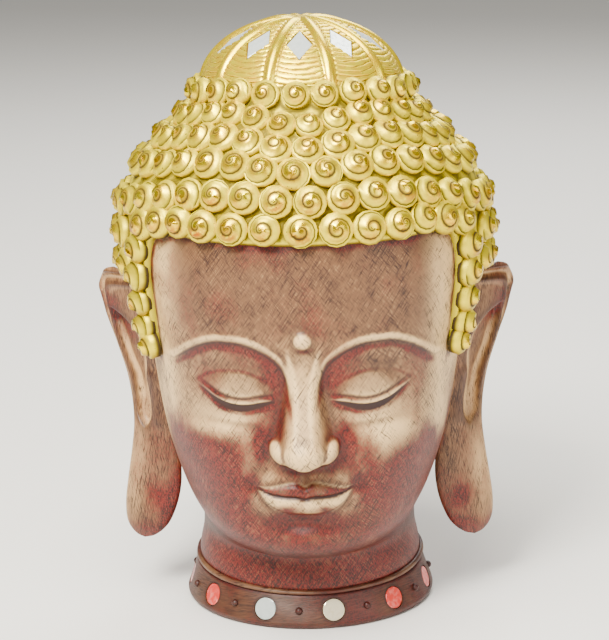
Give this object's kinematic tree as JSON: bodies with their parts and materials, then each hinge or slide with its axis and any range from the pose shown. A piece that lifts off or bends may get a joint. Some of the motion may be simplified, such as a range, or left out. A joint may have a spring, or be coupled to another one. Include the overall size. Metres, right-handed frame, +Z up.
{
  "type": "buddha head bust",
  "caption": "Decorative Buddha head on a neck band, with snail-curl hair, a ribbed crown dome, long ears and small mirror inlays.",
  "frame": {"origin": "middle of the flat underside of the neck band", "axes": "+Z up through the crown, the face looks along -Y, its left ear at +X"},
  "size_m": [0.2029, 0.2085, 0.2855],
  "materials": {
    "painted_resin": "hand-painted taupe, brushed dark and cream, reddish in the hollows; the hair gold",
    "silver_mirror": "silvered glass",
    "coral_mirror": "coral tinted silvered glass"
  },
  "bodies": {
    "root": {"buddha_head": "painted_resin", "disc_mirror_01": "silver_mirror", "disc_mirror_02": "coral_mirror", "disc_mirror_03": "coral_mirror", "disc_mirror_04": "coral_mirror", "disc_mirror_05": "coral_mirror", "disc_mirror_06": "silver_mirror", "disc_mirror_07": "coral_mirror", "disc_mirror_08": "coral_mirror", "disc_mirror_09": "coral_mirror", "disc_mirror_10": "coral_mirror", "disc_mirror_11": "silver_mirror", "diamond_mirror_01": "silver_mirror", "diamond_mirror_02": "silver_mirror", "diamond_mirror_03": "silver_mirror", "diamond_mirror_04": "silver_mirror", "diamond_mirror_05": "silver_mirror", "diamond_mirror_06": "silver_mirror", "diamond_mirror_07": "silver_mirror", "diamond_mirror_08": "silver_mirror", "diamond_mirror_09": "silver_mirror", "diamond_mirror_10": "silver_mirror"}
  },
  "joints": []
}
